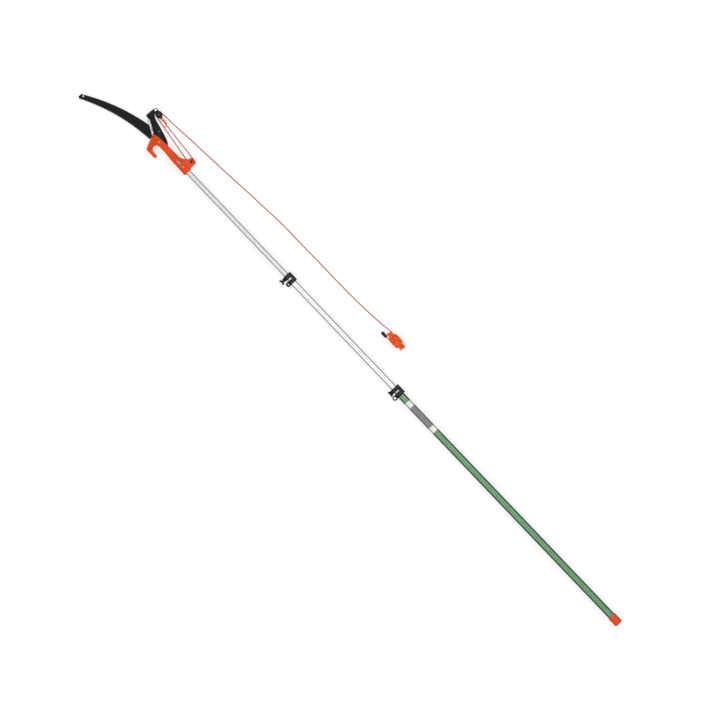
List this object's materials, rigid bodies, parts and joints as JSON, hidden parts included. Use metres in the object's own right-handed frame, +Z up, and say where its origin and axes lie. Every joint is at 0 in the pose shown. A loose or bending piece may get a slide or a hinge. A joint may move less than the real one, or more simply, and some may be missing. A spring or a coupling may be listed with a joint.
{
  "type": "telescopic tree pruner pole",
  "caption": "Telescopic pole with a hooked bypass cutter drawn by a cord over pulleys, a curved pruning saw beyond it, clamp collars with wing screws and a return spring.",
  "frame": {"origin": "centre of the butt cap's end face, on the pole axis", "axes": "+X along the pole from the butt to the head, +Y towards the hook, +Z up as it lies on its back"},
  "size_m": [2.831, 0.2503, 0.0424],
  "materials": {
    "green_tube": "green anodised, satin",
    "bright_tube": "bright drawn",
    "orange_casting": "orange powder coat",
    "orange_plastic": "moulded",
    "black_plastic": "moulded",
    "bush_plastic": "moulded",
    "label_film": "plain film",
    "black_steel": "black non-stick coat",
    "bright_steel": "zinc plated",
    "spring_steel": "drawn wire",
    "bronze": "turned",
    "cord": "braided"
  },
  "bodies": {
    "outer": {"outer_tube": "green_tube", "end_cap": "orange_plastic", "label_sleeve": "label_film", "lower_clamp_collar": "black_plastic", "lower_clamp_fixing_screw": "bright_steel"},
    "lower_screw": {"lower_clamp_wing_screw": "black_plastic"},
    "middle": {"middle_tube": "bright_tube", "middle_guide_bush": "bush_plastic", "upper_clamp_collar": "black_plastic", "upper_clamp_fixing_screw": "bright_steel"},
    "upper_screw": {"upper_clamp_wing_screw": "black_plastic"},
    "head": {"inner_tube": "bright_tube", "inner_guide_bush": "bush_plastic", "head_casting": "orange_casting", "head_bolt": "bright_steel", "head_nut": "bright_steel", "saw_blade": "black_steel", "saw_screws": "bright_steel", "pivot_bolt": "bright_steel", "pivot_nut": "bright_steel", "head_spring_post": "bright_steel", "return_spring": "spring_steel", "lower_pulley_pin": "bright_steel", "free_cord": "cord", "cord_hank": "cord", "hank_tie": "cord", "pull_grip": "black_plastic"},
    "cutter": {"lever": "black_steel", "cutting_blade": "black_steel", "pivot_bush": "bronze", "blade_rivet": "bright_steel", "lever_spring_post": "bright_steel", "block_pin": "bright_steel"},
    "lower_wheel": {"lower_pulley": "black_plastic"},
    "block": {"pulley_block": "black_steel", "upper_pulley_pin": "bright_steel", "becket_knot": "cord", "upper_cord_turn": "cord"},
    "upper_wheel": {"upper_pulley": "black_plastic"},
    "tackle": {"tackle_strands": "cord"},
    "lead": {"lead_cord": "cord"}
  },
  "joints": [
    {"name": "lower_screw_turn", "type": "hinge", "parent": "outer", "child": "lower_screw", "pos_m": [1.2145, 0, 0], "axis": [0, 0.8192, 0.5736], "range_deg": [0, 360]},
    {"name": "middle_slide", "type": "slide", "parent": "outer", "child": "middle", "axis": [1, 0, 0], "range_m": [-0.54, 0.38]},
    {"name": "upper_screw_turn", "type": "hinge", "parent": "middle", "child": "upper_screw", "pos_m": [1.7985, 0, 0], "axis": [0, 1, 0], "range_deg": [0, 360]},
    {"name": "inner_slide", "type": "slide", "parent": "middle", "child": "head", "axis": [1, 0, 0], "range_m": [-0.52, 0.38]},
    {"name": "cutter_swing", "type": "hinge", "parent": "head", "child": "cutter", "pos_m": [2.496, 0.002, 0], "axis": [0, 0, -1], "range_deg": [0, 60], "stiffness_Nm_per_rad": 1.2, "springref_deg": -20.05, "deforming": ["return_spring", "tackle_strands", "lead_cord"]},
    {"name": "block_swivel", "type": "hinge", "parent": "cutter", "child": "block", "pos_m": [2.5935, -0.073, 0], "axis": [0, 0, -1], "range_deg": [-40, 5]},
    {"name": "upper_pulley_spin", "type": "hinge", "parent": "block", "child": "upper_wheel", "pos_m": [2.57226, -0.06964, 0], "axis": [0, 0, -1], "continuous": true},
    {"name": "lower_pulley_spin", "type": "hinge", "parent": "head", "child": "lower_wheel", "pos_m": [2.36, -0.036, 0], "axis": [0, 0, -1], "continuous": true},
    {"name": "tackle_swing", "type": "hinge", "parent": "head", "child": "tackle", "pos_m": [2.36, -0.036, 0], "axis": [0, 0, -1], "range_deg": [-5, 30]},
    {"name": "lead_swing", "type": "hinge", "parent": "head", "child": "lead", "pos_m": [2.21, -0.104, -0.016], "axis": [0, 0, -1], "range_deg": [-3, 10]}
  ],
  "couplings": [
    {"joint": "block_swivel", "follows": "cutter_swing", "ratio": -0.5664},
    {"joint": "upper_pulley_spin", "follows": "cutter_swing", "ratio": 15.37},
    {"joint": "lower_pulley_spin", "follows": "cutter_swing", "ratio": 7.6851},
    {"joint": "tackle_swing", "follows": "cutter_swing", "ratio": 0.4336},
    {"joint": "lead_swing", "follows": "cutter_swing", "ratio": 0.117}
  ]
}
